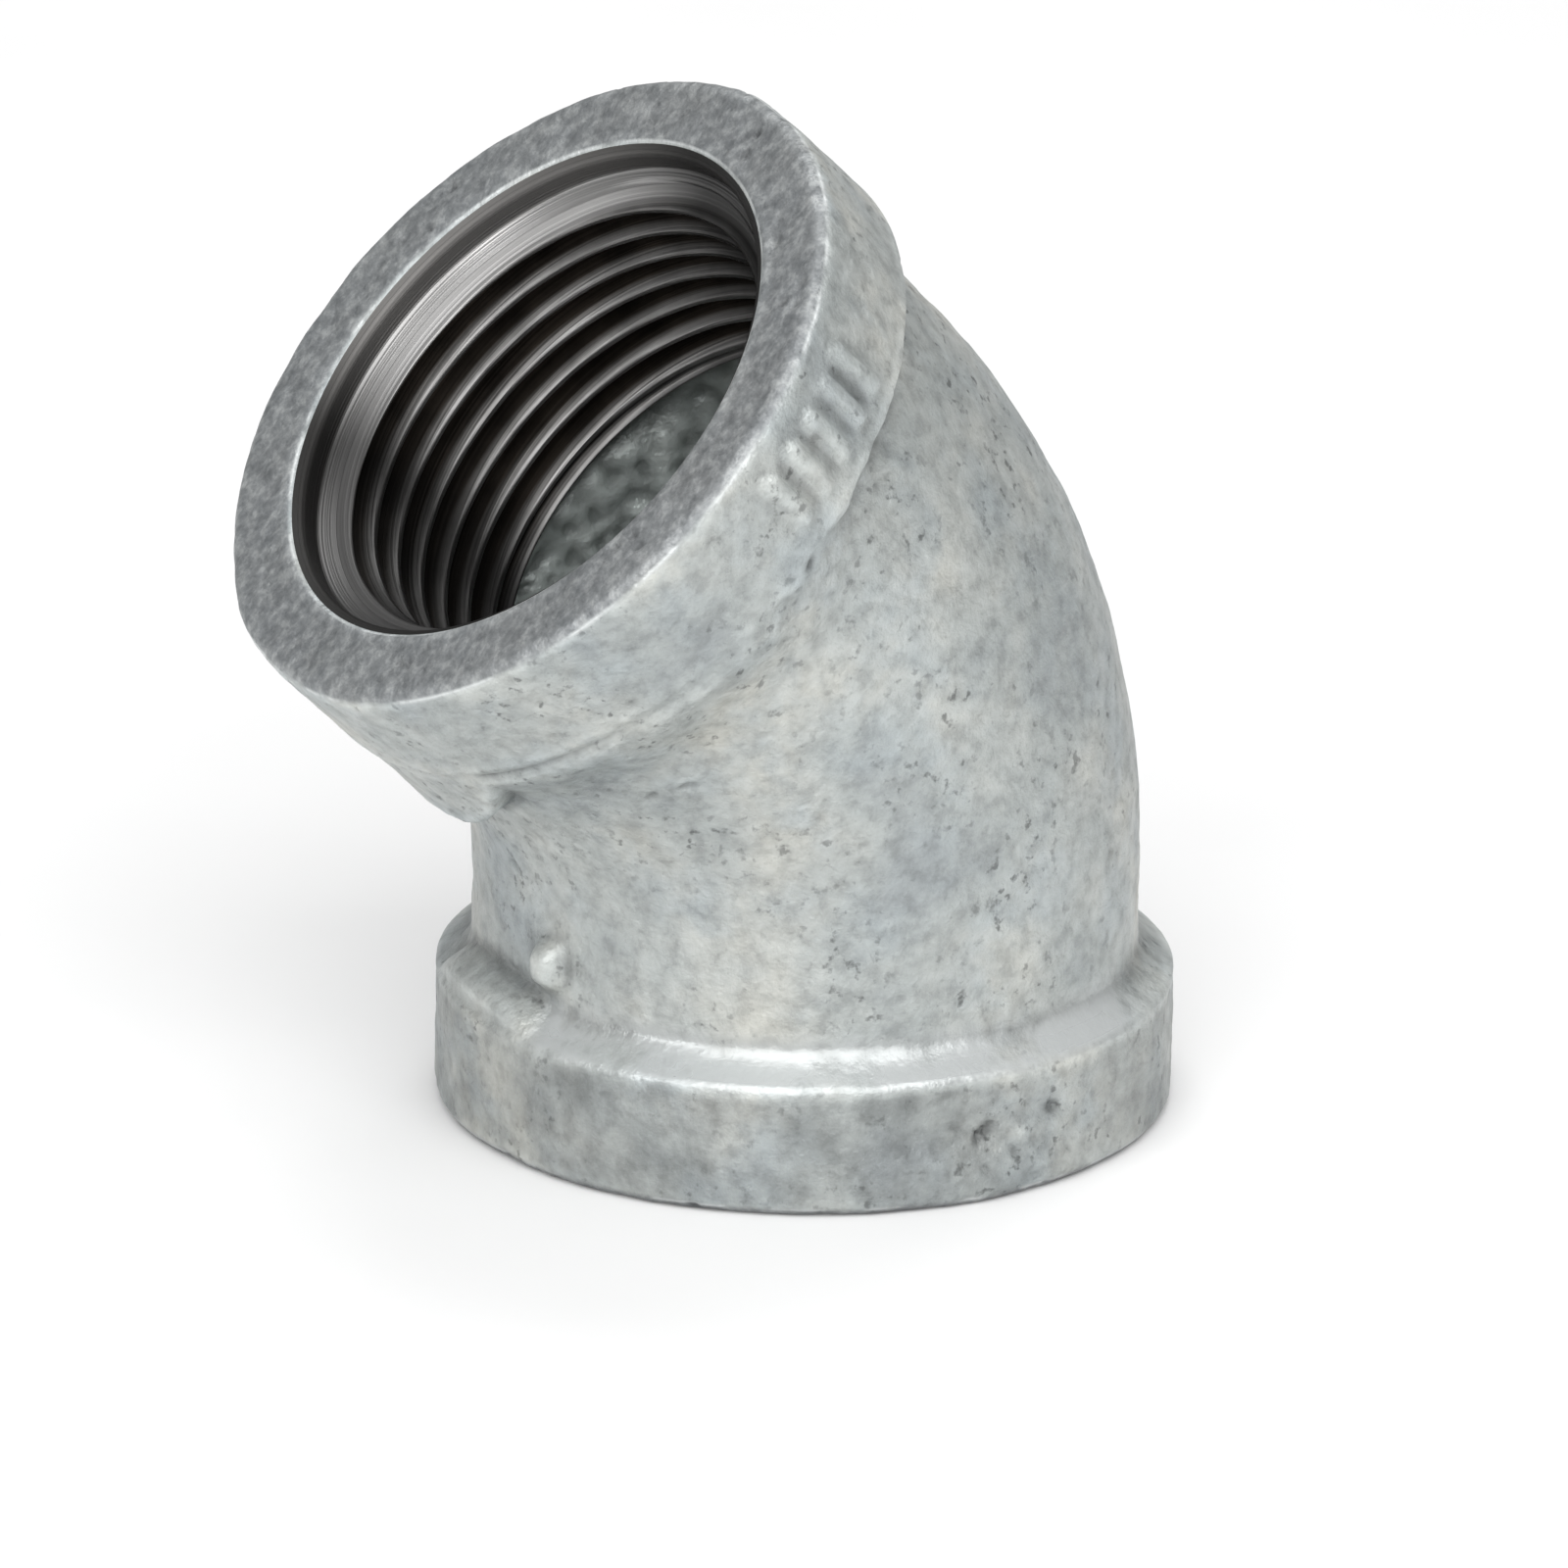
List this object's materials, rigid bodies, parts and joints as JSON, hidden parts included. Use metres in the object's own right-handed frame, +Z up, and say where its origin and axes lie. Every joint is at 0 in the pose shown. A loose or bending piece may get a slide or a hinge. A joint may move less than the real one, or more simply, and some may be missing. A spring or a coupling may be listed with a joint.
{
  "type": "pipe elbow",
  "caption": "45 degree pipe elbow: one galvanized casting with a reinforced band and a female taper thread at each end, turning a pipe run through an eighth of a circle.",
  "frame": {"origin": "centre of the lower port's end face, which the elbow stands on", "axes": "+Z up the lower leg's axis; the elbow's plane is XZ, and the upper leg leans 45 degrees towards -X; +Y away from the side with the raised tally marks"},
  "size_m": [0.0581, 0.045, 0.064],
  "materials": {
    "galvanized_casting": "rough cast, hot-dip galvanized, with bare machined threads"
  },
  "bodies": {
    "root": {"elbow_casting": "galvanized_casting"}
  },
  "joints": []
}
